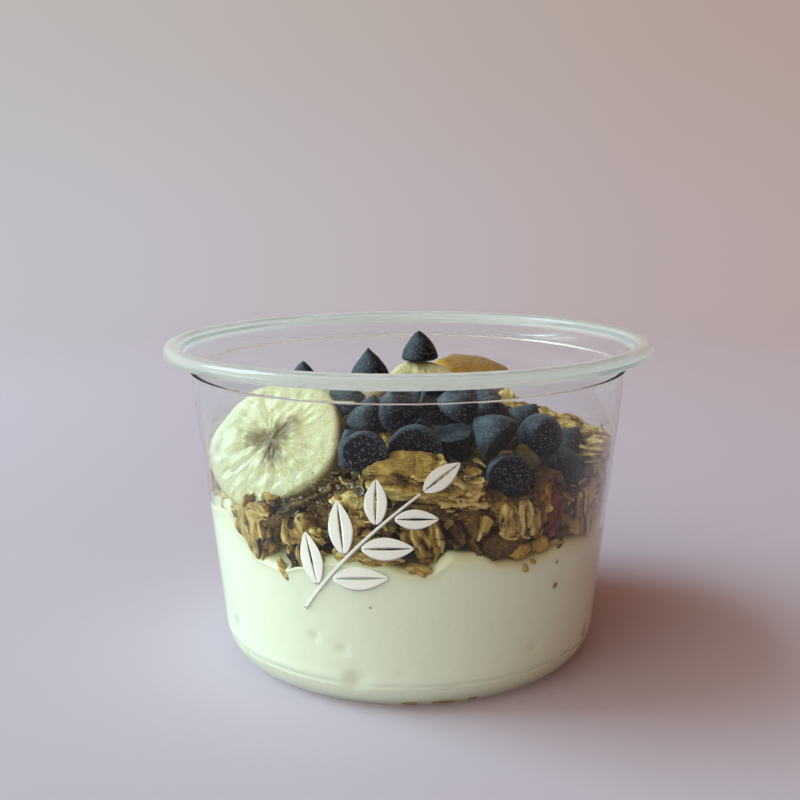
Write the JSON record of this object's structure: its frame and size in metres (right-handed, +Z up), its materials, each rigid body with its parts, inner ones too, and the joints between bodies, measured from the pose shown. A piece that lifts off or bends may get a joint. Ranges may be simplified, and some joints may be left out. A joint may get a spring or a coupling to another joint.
{
  "type": "yogurt bowl",
  "caption": "Clear plastic cup of thick yogurt topped with oat granola, dark chocolate drops and banana slices.",
  "frame": {"origin": "middle of the cup's foot, on the surface it stands on", "axes": "+Z up out of the cup's mouth, front towards -Y, +X to the right seen from the front"},
  "size_m": [0.117, 0.117, 0.076],
  "materials": {
    "clear_plastic": "clear drawn plastic, glossy and slightly wavy",
    "yogurt": "thick set yogurt, smooth, moist, satin",
    "granola": "baked oat flakes and clusters, dry and rough",
    "banana": "cut banana, moist, with a browner core",
    "dark_chocolate": "dark chocolate with a faint grey bloom",
    "dark_raisin": "dried fruit, wrinkled and slightly sticky",
    "golden_fruit": "golden dried fruit, moist and glossy",
    "seed": "olive pumpkin seed with a thin pale edge",
    "honey_glaze": "amber glaze, wet and glossy",
    "droplets": "small clear drops of moisture",
    "white_ink": "thin white ink printed on the plastic"
  },
  "bodies": {
    "root": {"cup": "clear_plastic", "yogurt": "yogurt", "granola": "granola", "granola_cluster_front": "granola", "granola_cluster_centre": "granola", "granola_cluster_right": "granola", "granola_cluster_edge": "granola", "raisin_dark": "dark_raisin", "raisin_golden_low": "golden_fruit", "raisin_golden_side": "golden_fruit", "pumpkin_seed": "seed", "banana_slice_front": "banana", "banana_slice_middle": "banana", "banana_slice_back": "banana", "banana_slice_glazed": "banana", "chocolate_drop_01": "dark_chocolate", "chocolate_drop_02": "dark_chocolate", "chocolate_drop_03": "dark_chocolate", "chocolate_drop_04": "dark_chocolate", "chocolate_drop_05": "dark_chocolate", "chocolate_drop_06": "dark_chocolate", "chocolate_drop_07": "dark_chocolate", "chocolate_drop_08": "dark_chocolate", "chocolate_drop_09": "dark_chocolate", "chocolate_drop_10": "dark_chocolate", "chocolate_drop_11": "dark_chocolate", "chocolate_drop_12": "dark_chocolate", "chocolate_drop_13": "dark_chocolate", "chocolate_drop_14": "dark_chocolate", "chocolate_drop_15": "dark_chocolate", "chocolate_drop_16": "dark_chocolate", "chocolate_drop_17": "dark_chocolate", "chocolate_drop_18": "dark_chocolate", "chocolate_drop_19": "dark_chocolate", "chocolate_drop_20": "dark_chocolate", "chocolate_drop_21": "dark_chocolate", "chocolate_drop_22": "dark_chocolate", "chocolate_drop_23": "dark_chocolate", "chocolate_drop_24": "dark_chocolate", "chocolate_drop_25": "dark_chocolate", "chocolate_drop_26": "dark_chocolate", "chocolate_drop_27": "dark_chocolate", "chocolate_drop_28": "dark_chocolate", "chocolate_drop_29": "dark_chocolate", "chocolate_drop_30": "dark_chocolate"}
  },
  "joints": []
}
